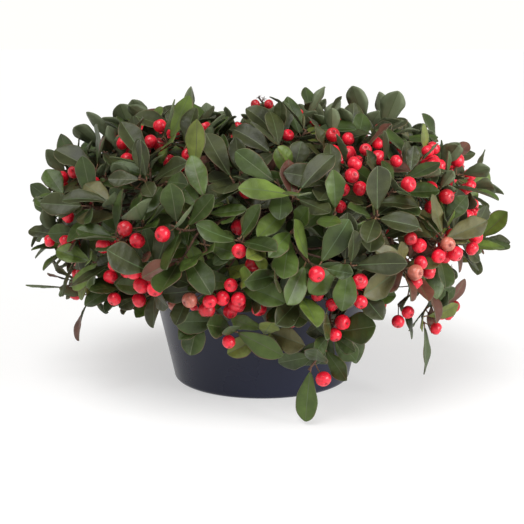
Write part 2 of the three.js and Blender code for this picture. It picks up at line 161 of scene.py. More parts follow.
LEAF_TINTS = {
    "leaf_dark": (0.031, 0.037, 0.010),
    "leaf_deep": (0.033, 0.053, 0.010),
    "leaf_mid": (0.052, 0.084, 0.014),
    "leaf_fresh": (0.089, 0.133, 0.022),
    "leaf_lime": (0.122, 0.148, 0.027),
    "leaf_olive": (0.092, 0.086, 0.028),
    "leaf_bronze": (0.095, 0.034, 0.020),
}
# berry_painted_shade is a darker copy of the red: painted shade. A share of the berries takes it at
# random, and the sprigs' small berries always take it.
BERRY_TINTS = {
    "berry_red": (0.76, 0.012, 0.034),
    "berry_painted_shade": (0.48, 0.010, 0.020),
    "berry_pale": (0.46, 0.13, 0.09),
}
# How these are mottled, between a darker and a lighter share. A bump is its scale, its strength,
# its depth in metres and, where it isn't 3, its noise's detail.
LEAF_LOOK = Sizes(
    roughness=0.45, specular=0.36, dark=0.68, light=1.32, scale=75, detail=6, bump=(700, 0.3, 0.0005),
)
BERRY_LOOK = Sizes(
    roughness=0.32, specular=0.5, dark=0.7, light=1.16, scale=300, detail=5, bump=(800, 0.3, 0.0004),
)
# Other looks: name, plain colour, roughness, the two colours that noise moves it between, the
# noise's scale and detail, and the bump.
FINE_BUMP = (700, 0.2, 0.0003)
LEAF_PARTS = (
    ("leaf_midrib", (0.068, 0.098, 0.036), 0.5,
     (0.078, 0.078, 0.034), (0.06, 0.106, 0.036), 40, 3, FINE_BUMP),
    ("leaf_margin", (0.08, 0.098, 0.036), 0.5,
     (0.105, 0.056, 0.028), (0.072, 0.104, 0.036), 40, 3, FINE_BUMP),
    ("leaf_underside", (0.105, 0.132, 0.066), 0.6,
     (0.086, 0.108, 0.052), (0.124, 0.153, 0.078), 50, 5, FINE_BUMP),
)
# The star's dark red is partly the dry lobes' own colour and partly painted shade of the dimple at the
# berry's end.
BERRY_STAR = (
    "berry_star", (0.2, 0.012, 0.016), 0.7,
    (0.15, 0.01, 0.012), (0.25, 0.016, 0.02), 400, 3, (900, 0.3, 0.0003),
)
MIX_LOOK = (
    "potting_mix", (0.03, 0.019, 0.012), 0.95,
    (0.012, 0.008, 0.005), (0.06, 0.036, 0.02), 220, 8, (500, 0.8, 0.0015, 8),
)
POT_LOOK = Sizes(
    colour=(0.0095, 0.0115, 0.0275), roughness=0.3, specular=0.3, smooth=0.24, rough=0.36,
    scale=18, detail=5, bump=(1800, 0.12, 0.0002, 2),
)
RAMP_STOPS = (0.35, 0.65)
# Bark and stalks: name, dark and light colour, and the noise's scale.
BARK_LOOK = ("bark", (0.035, 0.018, 0.011), (0.15, 0.075, 0.045), 260)
TWIG_LOOKS = (
    ("twig_bark", (0.045, 0.022, 0.013), (0.13, 0.062, 0.034), 300),
    ("leaf_stalk", (0.12, 0.045, 0.025), (0.17, 0.1, 0.04), 250),
    ("young_stem", (0.14, 0.17, 0.05), (0.23, 0.24, 0.09), 250),
)
# How often a spray has each tint, in the order of the tints: old dark leaves on top, fresher
# green ones on the flanks, and autumn tints on the two thin trailing sides.
TOP_SHARES = (0.36, 0.30, 0.16, 0.04, 0.01, 0.09, 0.04)
FLANK_SHARES = (0.18, 0.34, 0.30, 0.11, 0.02, 0.04, 0.01)
THIN_SHARES = (0.03, 0.10, 0.16, 0.14, 0.15, 0.20, 0.22)
STRAY_TINT = 0.3
TOP_FROM = 150

# Shoots that hang over the pot at the front, and others that trail at the thin sides, as
# azimuth, reach and height of their tips.
FRONT_SHOOTS = [
    (-98, 128, 68), (-90, 131, 60), (-83, 133, 76), (-68, 130, 64), (-108, 124, 77), (-61, 127, 75),
]
TOP_SPRIGS = [(-90, 12, 221), (-40, 20, 215)]
TRAILING_SHOOTS = [(-18, 147, 66), (-31, 141, 60), (-38, 139, 72), (186, 158, 74), (197, 150, 66)]
HANGING = Sizes(below=62, depth=40, count=7, tint="leaf_deep")
LOWEST_LEAF = Sizes(
    length=LEAF.length[1], width=0.44 * LEAF.length[1], fold=0.12, bend=0.3, roll=0, fullness=0.14,
)
# The trailing sides, where the sky shows between the sprays.
THIN_SIDES = [Sizes(azimuth=-9, half_width=49, below=104), Sizes(azimuth=193, half_width=17, below=92)]
THIN = Sizes(keep=0.16, leaves=3, bare=0.4, size=0.8, tint_over=12)
DRY = Sizes(chance=0.04, stars=4, spread=1.5, stalk=4.2, stalk_radius=0.5, radius=4.4)

LIGHT = Sizes(
    low_sky=1.05, high_sky=0.28, horizon=0.13, horizon_fade=0.25, tone=(1, 0.98, 0.93, 1),
    overhead=2.5, overhead_angle=45, overhead_at=(-0.35, -0.75, 1.5), right=18, right_size=0.8,
    right_at=(1.15, -0.85, 0.45), aim=(0, 0, 0.12), floor_glow=0.5, floor_tone=(0.49, 0.49, 0.49),
    floor_half=30.0,
)
CAMERA = Sizes(distance=950, height=93, elevation=10.67, focal_px=1184.3, frame_px=524, sensor=36)


# Small helpers.

def lerp(a, b, share):
    return a + (b - a) * share


def unit(v):
    return v / np.linalg.norm(v, axis=-1, keepdims=True)


def clamp(value, low, high):
    return max(low, min(high, value))


def gather(items, name):
    """One value of each item, as an array."""
    return np.array([getattr(item, name) for item in items])


def polar(azimuth, reach, height):
    a = math.radians(azimuth)
    return np.array([reach * math.cos(a), reach * math.sin(a), height])


def scatter(draw, low=0.5):
    """A short way to any side, more often up where low is less than a half."""
    return np.array([draw() - 0.5, draw() - 0.5, draw() - low])


def random_source(seed):
    """Numbers from 0 to 1, the same ones that the part's source draws for this seed."""
    mask = 0xFFFFFFFF
    step = 0x6D2B79F5
    state = seed

    def draw():
        nonlocal state
        state = (state + step) & mask
        t = ((state ^ (state >> 15)) * (state | 1)) & mask
        t ^= (t + (t ^ (t >> 7)) * (t | 61)) & mask
        return ((t ^ (t >> 14)) & mask) / (mask + 1)

    return draw


# The rule that lays out limbs, masses and tips.

def profile_line():
    """The crown's profile from its top to its hem, as points that are one step apart."""
    line = []
    hem_angle = math.acos((CROWN.hem / CROWN.radius) ** (CROWN.curl / 2))
    last = (0, CROWN.middle + CROWN.up)
    for i in range(TIPS.profile_parts + 1):
        a = lerp(math.pi / 2, -hem_angle, i / TIPS.profile_parts)
        power = 2 / (CROWN.fullness if a > 0 else CROWN.curl)
        rise = (CROWN.up if a > 0 else -CROWN.down) * abs(math.sin(a)) ** power
        point = (CROWN.radius * abs(math.cos(a)) ** power, CROWN.middle + rise)
        if math.hypot(point[0] - last[0], point[1] - last[1]) >= TIPS.step:
            line.append(point)
            last = point
    return line


def crown_point(line, draw):
    """A point at random on the crown's surface."""
    while True:
        reach, height = line[int(len(line) * draw())]
        point = polar(360 * draw(), reach, height)
        point[0] += CROWN.offset
        if height > CROWN.middle:
            point[2] -= DIP.depth * math.exp(-(((point[0] - DIP.x) / DIP.half_width) ** 2))
        if CROWN.radius * draw() < reach:
            return point


def height_over(cone, reach, height):
    return (height - cone.height - cone.slope * (reach - cone.reach)) / math.hypot(1, cone.slope)


def turn_from(azimuth, point):
    """The angle in degrees between an azimuth and a point's own."""
    return abs((math.degrees(math.atan2(point[1], point[0])) - azimuth + 180) % 360 - 180)


def depth_in_space(point, mass):
    """How far a point lies inside a mass's space."""
    reach = math.hypot(point[0], point[1])
    inner_turn = max(-90, mass.sector / 2 - turn_from(mass.azimuth, point))
    depth = reach * math.sin(math.radians(inner_turn))
    if mass.place.floor:
        depth = min(depth, height_over(mass.place.floor, reach, point[2]))
    if mass.place.ceiling:
        depth = min(depth, -height_over(mass.place.ceiling, reach, point[2]))
    return depth


def mass_at(point, masses):
    return max(masses, key=lambda mass: depth_in_space(point, mass))


def bezier(points, share):
    """A point of the curve of any degree, for one share or for an array of them."""
    share = np.asarray(share, float)[..., None]
    level = list(points)
    while len(level) > 1:
        level = [lerp(a, b, share) for a, b in zip(level, level[1:])]
    return level[0]


def curve_line(points, count):
    """Points that are equally far apart along a curve."""
    fine = bezier(points, np.linspace(0, 1, CURVE_POINTS))
    run = np.concatenate([[0], np.cumsum(np.linalg.norm(np.diff(fine, axis=0), axis=1))])
    places = np.linspace(0, run[-1], count)
    return np.stack([np.interp(places, run, fine[:, axis]) for axis in range(3)], axis=1)


def plan_plant():
    """The limbs and masses, with each mass's tips."""
    limbs = []
    masses = []

    def add_stem(name, azimuth, place):
        foot = polar(azimuth, place.foot, MIX.top + GAP)
        curve = [foot, polar(azimuth, *place.bend), polar(azimuth, *place.entry)]
        limbs.append(Sizes(name=name, curve=curve, size=STEM))
        return curve

    def add_mass(name, azimuth, sector, place, limb_curve):
        masses.append(Sizes(
            name=name, azimuth=azimuth, sector=sector, place=place, entry=limb_curve[-1],
            heart=polar(azimuth, *place.heart), way=unit(limb_curve[2] - limb_curve[1]), tips=[],
        ))

    for side, azimuth in TOP_AZIMUTHS.items():
        curve = add_stem(f"stem_top_{side}", azimuth, TOP)
        add_mass(f"top_{side}", azimuth, 360 / len(TOP_AZIMUTHS), TOP, curve)
    sector = 360 / RING_COUNT
    for i in range(RING_COUNT):
        skirt_azimuth = SKIRT_AZIMUTH + sector * i
        stem_azimuth = skirt_azimuth + sector / 2
        stem = add_stem(f"stem_{i + 1}", stem_azimuth, SHOULDER)
        start = curve_line(stem, STEM.parts + 1)[round(STEM.parts * BOUGH_LEAVES_AT)]
        bend = polar(skirt_azimuth + sector * SKIRT.sideways, *SKIRT.bend)
        bough = [start, bend, polar(skirt_azimuth, *SKIRT.entry)]
        limbs.append(Sizes(name=f"bough_{i + 1}", curve=bough, size=BOUGH))
        add_mass(f"shoulder_{i + 1}", stem_azimuth, sector, SHOULDER, stem)
        add_mass(f"skirt_{i + 1}", skirt_azimuth, sector, SKIRT, bough)
    return limbs, masses


def in_thin_side(point, over=0):
    return any(
        turn_from(side.azimuth, point) < side.half_width and point[2] < side.below + over
        for side in THIN_SIDES
    )


def farthest_tips(tips, count, inside, masses, make_point):
    """Adds tips, each as far from those before it as some tries allow."""
    while len(tips) < count:
        placed = np.array(tips)
        points = [make_point() for _ in range(TIPS.candidates)]
        fit = [point for point in points if depth_in_space(point, mass_at(point, masses)) >= inside]
        tips.append(max(fit, key=lambda point: np.linalg.norm(placed - point, axis=1).min()))
    return tips


def add_tips(masses):
    """The source's own tips, then the finer ones between them and those inside the crown."""
    draw = random_source(SEED)
    line = profile_line()
    tips = [polar(*spray) for spray in LOW_SPRAYS]

    def on_surface():
        return crown_point(line, draw)

    def inside_crown():
        return lerp(CORE, crown_point(line, draw), lerp(*FINE.inner_depth, draw()))

    def add(place, kind):
        mass_at(place, masses).tips.append(Sizes(place=place, kind=kind))

    farthest_tips(tips, TIPS.count, TIPS.inside, masses, on_surface)
    farthest_tips(tips, TIPS.count + FINE.surface, FINE.inside, masses, on_surface)
    inner = farthest_tips([CORE], 1 + FINE.inner, FINE.inside, masses, inside_crown)[1:]
    for place in tips[:TIPS.count]:
        add(place, "main")
    for shoot in FRONT_SHOOTS + TRAILING_SHOOTS:
        add(polar(*shoot), "fine")
    for sprig in TOP_SPRIGS:
        add(polar(*sprig), "sprig")
    for kind, places in (("fine", tips[TIPS.count:]), ("inner", inner)):
        for place in places:
            as_kind = "bare" if draw() < DRY.chance else kind
            if in_thin_side(place) and draw() > THIN.keep:
                as_kind = "bare" if draw() < THIN.bare else None
            if as_kind:
                add(place, as_kind)


# Twigs: where each one starts, how it bends to its tip, and which way its rosette faces.

def twig_ways(tip, draw):
    """The way out of the crown at a tip, and its rosette's axis, which is turned a little at
    random, as no two shoots reach for the light alike."""
    outward = unit(tip - CORE)
    rise = clamp((tip[2] - TILT.start) / (TILT.end - TILT.start), 0, 1)
    axis = unit(outward + UP * lerp(TILT.lowest, TILT.highest, rise))
    return outward, unit(axis + FINE.sway * scatter(draw, FINE.sway_up))


def new_twig(kind, start, lead, pull, end, axis, outward):
    """A twig that leaves its parent between the parent's way and its own, and ends on its axis."""
    way = unit(unit(lead) + pull * unit(end - start))
    reach = np.linalg.norm(end - start)
    curve = [start, start + TWIG.leave * reach * way, end - TWIG.arrive * reach * axis, end]
    return Sizes(kind=kind, curve=curve, tip=end, axis=axis, outward=outward, reach=reach)


def tip_shift(kind, draw):
    """How far a tip reaches beyond its place. Some shoots stand proud of the others."""
    if kind == "sprig":
        return 0
    on = lerp(*FINE.on, draw())
    if draw() < FINE.proud_chance:
        on += lerp(*FINE.proud, draw())
    return on


def grow_main_twigs(mass, draw):
    """The twigs that fork from a mass's stem, as in the source."""
    main = [tip for tip in mass.tips if tip.kind == "main"]
    main.sort(key=lambda tip: np.linalg.norm(tip.place - mass.entry))
    lead = mass.heart - mass.entry
    twigs = []
    for i, tip in enumerate(main):
        outward, axis = twig_ways(tip.place, draw)
        start = lerp(mass.entry, mass.heart, lerp(TWIG.first, TWIG.last, (i + 1) / len(main)))
        end = tip.place + FINE.main_on * outward
        twigs.append(new_twig("main", start, lead, TWIG.main_pull, end, axis, outward))
    return twigs


def grow_twigs(mass, draw):
    """All twigs of a mass: the main ones, and finer ones that fork from those or from its stem."""
    twigs = grow_main_twigs(mass, draw)
    spots = [bezier(parent.curve, share) for parent in twigs for share in TWIG.forks]
    spots.append(lerp(mass.entry, mass.heart, TWIG.stem_fork))
    for tip in mass.tips:
        if tip.kind == "main":
            continue
        outward, axis = twig_ways(tip.place, draw)
        end = tip.place + tip_shift(tip.kind, draw) * outward
        start = min(spots, key=lambda spot: np.linalg.norm(spot - end))
        twig = new_twig(tip.kind, start, start - CORE, TWIG.pull, end, axis, outward)
        if all(clear_of_pot(point) for point in bezier(twig.curve, np.linspace(0, 1, TWIG.checks))):
            twigs.append(twig)
    return twigs


# Leaves, as arrays with one row for each leaf.

def leaf_half_width(along):
    """The share of the half width at each share of the length: widest past the middle, blunt at
    the tip and narrowing to the stalk."""
    return leaf_swell(along) ** LEAF.round


def leaf_swell(along):
    return np.maximum(np.sin(math.pi * along ** LEAF.blunt), LEAF.least)


def leaf_surface(leaves, along, across, lift):
    """Points of all leaves. along and across are grids of shares, and lift is the height in
    millimetres over the blade's middle layer."""
    def row(name):
        return gather(leaves, name)[:, None, None]

    length, width, fold = row("length"), row("width"), row("fold")
    bend, twist, stalk = row("bend") + 1e-4, row("twist"), row("petiole")
    phase = row("phase") + LEAF.side_shift * (across[None] > 0)
    beat = 2 * math.pi * (row("waves") * along[None] + phase)
    share = 1 + row("taper") * (along[None] - LEAF.taper_from) + LEAF.uneven * np.sin(2 * beat)
    share = share * leaf_swell(along)[None] ** -row("fullness")
    side = across[None] * share * width / 2
    out = side * np.cos(fold)
    up = np.abs(side) * np.sin(fold) + lift[None] + row("wave") * np.sin(beat) * across[None]**2
    turn = twist * along[None]
    out, up = out * np.cos(turn) - up * np.sin(turn), out * np.sin(turn) + up * np.cos(turn)
    angle = bend * along[None]
    run = stalk + length * np.sin(angle) / bend + up * np.sin(angle)
    rise = -length * (1 - np.cos(angle)) / bend + up * np.cos(angle)
    return (
        row("root") + run[..., None] * row("along") + out[..., None] * row("side")
        + rise[..., None] * row("facing")
    )


def grid_faces(rows, size, columns):
    """Quads between rows of points that follow one another, along a line of columns."""
    return [(i * size + a, i * size + b, (i + 1) * size + b, (i + 1) * size + a)
            for i in range(rows - 1) for a, b in zip(columns, columns[1:])]


ROUGH_ALONG = np.repeat(np.array(ROUGH_ROWS)[:, None], 3, axis=1)
ROUGH_ACROSS = np.array([-1, 0, 1]) * leaf_half_width(ROUGH_ALONG)
ROUGH_FACES = grid_faces(len(ROUGH_ROWS), 3, range(3))


def clear_of_pot(point, margin=POT.clear):
    """Says that a point is outside the pot and over the potting mix and the ground."""
    reach = math.hypot(point[0], point[1])
    height = point[2]
    band = POT.height - POT.rim_band
    if height < margin:
        return False
    if height > POT.height + margin:
        return True
    if reach < POT.wall_top_radius - POT.wall - margin and height > MIX.top + margin:
        return True
    share = (height - POT.foot_round) / (band - POT.foot_round)
    wall = lerp(POT.base_radius, POT.wall_top_radius, clamp(share, 0, 1))
    if height > band - margin:
        wall = POT.rim_radius
    return reach > wall + margin


class Room:
    """The wood, berries and leaves placed so far, which later ones may not cross. Each has an
    owner: its twig or limb, or a word for all leaves or all berries."""

    def __init__(self):
        self.centres = np.zeros((0, 3))
        self.reaches = np.zeros(0)
        self.trees = []
        self.owners = []
        self.berries = []

    def blocked(self, tree, centre, reach, skipped):
        """Says that a shape crosses one whose owner isn't the skipped one."""
        apart = np.linalg.norm(self.centres - centre, axis=1)
        near = np.nonzero(apart < self.reaches + reach)[0]
        return any(self.owners[i] is not skipped and tree.overlap(self.trees[i]) for i in near)

    def add(self, tree, centre, reach, owner):
        self.centres = np.vstack([self.centres, centre])
        self.reaches = np.append(self.reaches, reach)
        self.trees.append(tree)
        self.owners.append(owner)

    def add_wood(self, curve, radius, owner):
        """A limb or twig as a rough three-sided tube."""
        line = curve_line(curve, TWIG.room_rings)
        side = radius * any_across(unit(line[-1] - line[0]))
        other = radius * np.cross(unit(line[-1] - line[0]), unit(side))
        edges = [line + side, line - side / 2 + other, line - side / 2 - other, line + side]
        faces = grid_faces(len(edges), TWIG.room_rings, range(TWIG.room_rings))
        tree = BVHTree.FromPolygons(np.concatenate(edges).tolist(), faces)
        centre = line.mean(axis=0)
        self.add(tree, centre, np.linalg.norm(line - centre, axis=1).max(), owner)

    def take_berry(self, centre, radius, outlook, window, skipped):
        """Adds a berry if it and its window have room, and says so."""
        if any(np.linalg.norm(centre - c) < radius + r for c, r in self.berries):
            return False
        tree = berry_tree(centre, radius, outlook, window)
        if self.blocked(tree, centre, radius + window, skipped):
            return False
        self.add(tree, centre, radius + BERRY.window, BERRY_OWNER)
        self.berries.append((centre, radius))
        return True


def hangs(twig):
    return twig.tip[2] < HANGING.below


def any_across(axis):
    return unit(np.cross(np.array([-axis[1], axis[0], 0.1]), axis))


def turned_about(v, axis, degrees):
    a = math.radians(degrees)
    kept = axis * np.dot(axis, v) * (1 - math.cos(a))
    return v * math.cos(a) + np.cross(axis, v) * math.sin(a) + kept


def rosette_layout(twig, draw):
    """How a twig's leaves are set: their number, how far they reach down the twig, and the way
    of the first one, which points down on a twig that hangs."""
    leaves = KINDS[twig.kind].leaves
    layout = Sizes(
        first=any_across(twig.axis), heading=360 * draw(), depth=ROSETTE.depth,
        count=THIN.leaves if in_thin_side(twig.tip) else leaves,
    )
    if hangs(twig):
        layout.first = unit(twig.axis * np.dot(UP, twig.axis) - UP)
        layout.heading = 0
        layout.depth = HANGING.depth
        layout.count = HANGING.count
    if not leaves:
        layout.count = 0
    return layout


def leaf_form(twig, lowest, draw):
    """A leaf's own size and shape. The lowest leaf of a hanging twig is long and slim."""
    length = lerp(*LEAF.length, draw() ** LEAF.mostly_long)
    length *= THIN.size if in_thin_side(twig.tip) else 1
    form = Sizes(length=length, width=length * lerp(*LEAF.slimness, draw()), tint=twig.tint)
    for name, (low, high) in vars(LEAF_FORM).items():
        setattr(form, name, lerp(low, high, draw()))
    if lowest:
        vars(form).update(vars(LOWEST_LEAF))
    return form


def placed_leaf(form, twig, base, away, lean, size):
    """A leaf of some form and size that leans from its twig's axis and turns to the light."""
    light = unit(twig.outward + UP * ROSETTE.light_rise)
    along = twig.axis * math.cos(lean) + away * math.sin(lean)
    facing = twig.axis * math.sin(lean) - away * math.cos(lean)
    facing = facing + ROSETTE.to_light * (light - along * np.dot(light, along))
    facing = turned_about(unit(facing), along, math.degrees(form.roll))
    leaf = Sizes(**vars(form))
    vars(leaf).update(
        length=form.length * size, width=form.width * size, root=base, along=along, facing=facing,
        side=np.cross(facing, along),
    )
    return leaf


def grow_leaf(form, twig, base, first, heading, lean, room):
    """A leaf without room is turned, raised and shortened a few times, and then left out."""
    for attempt in range(RETRY.tries):
        swing = (1 if attempt % 2 else -1) * math.ceil(attempt / 2) * RETRY.swing
        away = turned_about(first, twig.axis, heading + swing)
        raised = math.radians(lean - RETRY.raise_by * attempt)
        leaf = placed_leaf(form, twig, base, away, raised, 1 - RETRY.shrink * attempt)
        points = leaf_surface([leaf], ROUGH_ALONG, ROUGH_ACROSS, 0 * ROUGH_ALONG)[0].reshape(-1, 3)
        if not all(clear_of_pot(point) for point in points):
            continue
        tree = BVHTree.FromPolygons(points.tolist(), ROUGH_FACES)
        centre = points.mean(axis=0)
        if room.blocked(tree, centre, leaf.length / 2, twig):
            continue
        room.add(tree, centre, leaf.length / 2, LEAF_OWNER)
        return [leaf]
    return []


def grow_rosette(twig, room, draw):
    """The leaves of one rosette, spiralling down its twig."""
    leaves = []
    layout = rosette_layout(twig, draw)
    for i in range(layout.count):
        form = leaf_form(twig, i == 0 and hangs(twig), draw)
        share = (i + ROSETTE.stagger * draw()) / (layout.count - 1 + ROSETTE.stagger)
        back = ROSETTE.top + layout.depth * share
        base = bezier(twig.curve, 1 - back / max(twig.reach, 2 * back))
        heading = layout.heading + ROSETTE.turn * i
        leaves += grow_leaf(form, twig, base, layout.first, heading, lerp(*ROSETTE.lean, share), room)
    return leaves


def berry_tree(centre, radius, outward, window):
    """A berry's shape for the test of room: a rough ball, and a window that leaves keep open in
    front of it, so that the berry shows."""
    side = any_across(outward)
    axes = (side, np.cross(outward, side), outward)
    points = [centre + BERRY.rough * radius * way * sign for way in axes for sign in (1, -1)]
    points[4] = centre + (radius + window) * outward
    faces = [(0, 2, 4), (2, 1, 4), (1, 3, 4), (3, 0, 4), (2, 0, 5), (1, 2, 5), (3, 1, 5), (0, 3, 5)]
    return BVHTree.FromPolygons([p.tolist() for p in points], faces)


def grow_berries(twig, room, draw):
    """A cluster of berries that hangs from under a rosette on short stalks."""
    berries = []
    sprig = twig.kind == "sprig"
    count = SPRIG.berries if sprig else 1
    if not sprig and not hangs(twig):
        count += int(BERRY.most * draw() ** BERRY.mostly_few)
    base = bezier(twig.curve, 1 - lerp(*BERRY.back, draw()) / twig.reach)
    aside = unit(np.cross(twig.outward, UP))
    droop = SPRIG.droop if sprig else BERRY.droop * draw()
    middle = unit(twig.outward - UP * droop + aside * BERRY.aside * (draw() - 0.5))
    outlook = unit(twig.outward + SPRIG.outlook) if sprig else twig.outward
    tries = BERRY.sure_tries if sprig or hangs(twig) else BERRY.tries
    for attempt in range(tries * count):
        spread = BERRY.spread + BERRY.more_spread * attempt
        radius = lerp(*BERRY.radius, draw()) * (SPRIG.berry_size if sprig else 1)
        way = unit(middle + spread * scatter(draw, BERRY.upward))
        centre = base + way * (lerp(*BERRY.stalk, draw()) + radius)
        if not clear_of_pot(centre, radius + 1):
            continue
        if room.take_berry(centre, radius, outlook, BERRY.window, BERRY_OWNER):
            shape = [lerp(*BERRY.uneven, draw()) for _ in range(3)]
            berries.append(Sizes(
                base=base, way=way, centre=centre, radius=radius, spin=360 * draw(), shape=shape,
            ))
        if len(berries) == count:
            break
    return berries


def grow_tip_berries(twig, room):
    """Two small berries beside a sprig's tip, just over the leaves."""
    berries = []
    base = bezier(twig.curve, SPRIG.from_tip)
    for side in (-1, 1):
        for lift in SPRIG.lifts:
            centre = twig.tip + np.array([side * SPRIG.apart, -SPRIG.before, lift])
            if room.take_berry(centre, SPRIG.radius, SPRIG.outlook, 0, twig):
                # tint 1 is the darker copy of the red, which is painted shade.
                berries.append(Sizes(
                    base=base, way=unit(centre - base), centre=centre, radius=SPRIG.radius, spin=0,
                    shape=(1, 1, 1), tint=1,
                ))
                break
    return berries


# Meshes from arrays.

def new_object(name, data):
    item = bpy.data.objects.new(name, data)
    bpy.context.scene.collection.objects.link(item)
    return item


class Pile:
    """Points and faces that are gathered into one mesh, each face with its material."""

    def __init__(self):
        self.points = []
        self.faces = []
        self.count = 0

    def add(self, points, *groups):
        """Copies of one pattern, with a row of points for each copy. A group has faces with
        equally many corners, and their materials' numbers, in a row for each copy if they differ."""
        points = np.asarray(points, float)
        copies, size = points.shape[:2]
        starts = self.count + size * np.arange(copies)
        self.points.append(points.reshape(-1, 3))
        self.count += copies * size
        for faces, slots in groups:
            faces = np.asarray(faces)
            slots = np.broadcast_to(np.asarray(slots), (copies, len(faces)))
            faces = (faces[None] + starts[:, None, None]).reshape(-1, faces.shape[1])
            self.faces.append((faces, slots.reshape(-1)))

    def make(self, name, materials):
        mesh = bpy.data.meshes.new(name)
        points = np.concatenate(self.points) * MM
        faces = [face for group, _ in self.faces for face in group.tolist()]
        mesh.from_pydata(points.tolist(), [], faces)
        slots = np.concatenate([slots for _, slots in self.faces])
        mesh.polygons.foreach_set("material_index", slots.astype(np.int32))
        mesh.shade_smooth()
        for material in materials:
            mesh.materials.append(material)
        return new_object(name, mesh)


def leaf_pattern():
    """The grids, faces and kinds of face of one blade. Its upper side is puckered between the
    grooves of side veins, which slant forward. Both sides have a midrib, and they share edges."""
    inner = [lerp(*BLADE.inner, i / (BLADE.inner_rows - 1)) for i in range(BLADE.inner_rows)]
    middle = np.array([BLADE.base_row, *inner, *BLADE.tip_rows])
    rows = len(middle)
    width = leaf_half_width(middle)
    rib = np.minimum(BLADE.rib_most, LEAF.rib / BLADE.usual_half_width / width)
    rib = rib * lerp(1, BLADE.rib_end, middle)
    index = np.arange(rows)
    groove = (index % BLADE.vein_every == 2) & (index < rows - 2)
    relief = np.where(groove, -LEAF.vein, LEAF.pucker) * np.sin(math.pi * middle) ** 0.5
    half = LEAF.thickness / 2
    one = np.ones(rows)

    top = [one, LEAF.margin * one, BLADE.halfway * one, rib]
    under = [BLADE.halfway * one, rib]
    columns = [-share for share in top] + top[::-1] + [-share for share in under] + under[::-1]
    top_lifts = [
        0 * one, half * BLADE.margin_lift + BLADE.margin_relief * relief, half + relief,
        half * BLADE.rib_lift * one,
    ]
    under_lifts = [-half + BLADE.under_relief * relief, -half - BLADE.under_rib * one]
    lifts = top_lifts + top_lifts[::-1] + under_lifts + under_lifts[::-1]
    shares = np.stack(columns, axis=1)
    along = middle[:, None] + LEAF.slant * np.abs(shares) * np.sin(math.pi * middle)[:, None]

    size = len(columns)
    above = [0, 1, 2, 3, 4, 5, 6, 7]
    below = [0, 8, 9, 10, 11, 7]
    upper = grid_faces(rows, size, above)
    lower = [face[::-1] for face in grid_faces(rows, size, below)]
    kinds = [2, 0, 0, 1, 0, 0, 2] * (rows - 1) + [3, 3, 1, 3, 3] * (rows - 1)
    outline = above + below[-2:0:-1]
    ends = [outline[::-1], [(rows - 1) * size + k for k in outline]]
    return Sizes(
        along=along, across=shares * width[:, None], lift=np.stack(lifts, axis=1),
        faces=np.array(upper + lower), kinds=np.array(kinds), ends=np.array(ends),
    )


PATTERN = leaf_pattern()
TINT_NAMES = list(LEAF_TINTS)
RIB_SLOT, MARGIN_SLOT, UNDER_SLOT = len(TINT_NAMES), len(TINT_NAMES) + 1, len(TINT_NAMES) + 2


def add_leaves(pile, leaves):
    """All blades of a mass in one go."""
    points = leaf_surface(leaves, PATTERN.along, PATTERN.across, PATTERN.lift)
    points = points.reshape(len(leaves), -1, 3)
    tints = np.array([TINT_NAMES.index(leaf.tint) for leaf in leaves])[:, None]
    slots = np.choose(PATTERN.kinds, [tints, RIB_SLOT, MARGIN_SLOT, UNDER_SLOT])
    pile.add(points, (PATTERN.faces, slots), (PATTERN.ends, tints))


def ring_faces(rings, sides):
    """Quads between rings of points that follow one another."""
    return grid_faces(rings, sides, [*range(sides), 0])


def turned(profile, sides):
    """A surface of revolution about Z, from a profile that starts and ends on it."""
    angles = 2 * math.pi * np.arange(sides) / sides
    rings = [
        np.stack([reach * np.cos(angles), reach * np.sin(angles), np.full(sides, height)], axis=1)
        for reach, height in profile[1:-1]
    ]
    poles = np.array([[0, 0, profile[0][1]], [0, 0, profile[-1][1]]])
    bottom = len(rings) * sides
    last = bottom - sides
    ends = [(bottom, (j + 1) % sides, j) for j in range(sides)]
    ends += [(bottom + 1, last + j, last + (j + 1) % sides) for j in range(sides)]
    return np.concatenate([*rings, poles]), ring_faces(len(rings), sides), ends


def add_tubes(pile, lines, radii, sides, slot):
    """Closed tubes along lines that have equally many points: lines is (tubes, points, 3) and
    radii is (tubes, points)."""
    lines = np.asarray(lines, float)
    radii = np.asarray(radii, float)
    ways = unit(np.gradient(lines, axis=1))
    chord = unit(lines[:, -1] - lines[:, 0])
    first = unit(np.cross(chord, SKEW))[:, None]
    across = unit(first - ways * (first * ways).sum(axis=-1, keepdims=True))
    other = np.cross(ways, across)
    angle = (2 * math.pi * np.arange(sides) / sides)[:, None]
    out = across[:, :, None] * np.cos(angle) + other[:, :, None] * np.sin(angle)
    rings = lines[:, :, None] + radii[:, :, None, None] * out
    tubes, count = lines.shape[:2]
    caps = [list(range(sides))[::-1], list(range((count - 1) * sides, count * sides))]
    pile.add(rings.reshape(tubes, -1, 3), (ring_faces(count, sides), slot), (caps, slot))


def berry_pattern():
    """One berry of radius 1 whose stalk is at +Z: a slightly flattened ball with five soft lobes
    round the dimple at its far end."""
    slopes = [math.pi * (i / BALL.rings - 0.5) for i in range(BALL.rings + 1)]
    lows = [max(0.0, -math.sin(a)) ** BALL.low_power for a in slopes]
    profile = [
        (math.cos(a), BALL.flat * math.sin(a) + BALL.dimple * low ** 3)
        for a, low in zip(slopes, lows)
    ]
    points, quads, ends = turned(profile, BALL.sides)
    for k, point in enumerate(points[:-2]):
        ring = k // BALL.sides + 1
        turn = 2 * math.pi * (k % BALL.sides) / BALL.sides
        lobe = BALL.lobe * math.cos(BALL.lobes * turn) * math.cos(slopes[ring])
        point[:2] *= 1 + lobe * lows[ring] ** BALL.lobe_fade
    return points, quads, ends


def star_pattern():
    """The dry lobes at the berry's far end."""
    points = [(0, 0, -STAR.depth)]
    faces = []
    for k in range(STAR.lobes):
        a = 2 * math.pi * k / STAR.lobes
        for turn, reach, height in STAR.corners:
            points.append((reach * math.cos(a + turn), reach * math.sin(a + turn), height))
        faces.append((0, 3 * k + 1, 3 * k + 2, 3 * k + 3))
    return np.array(points), np.array(faces)


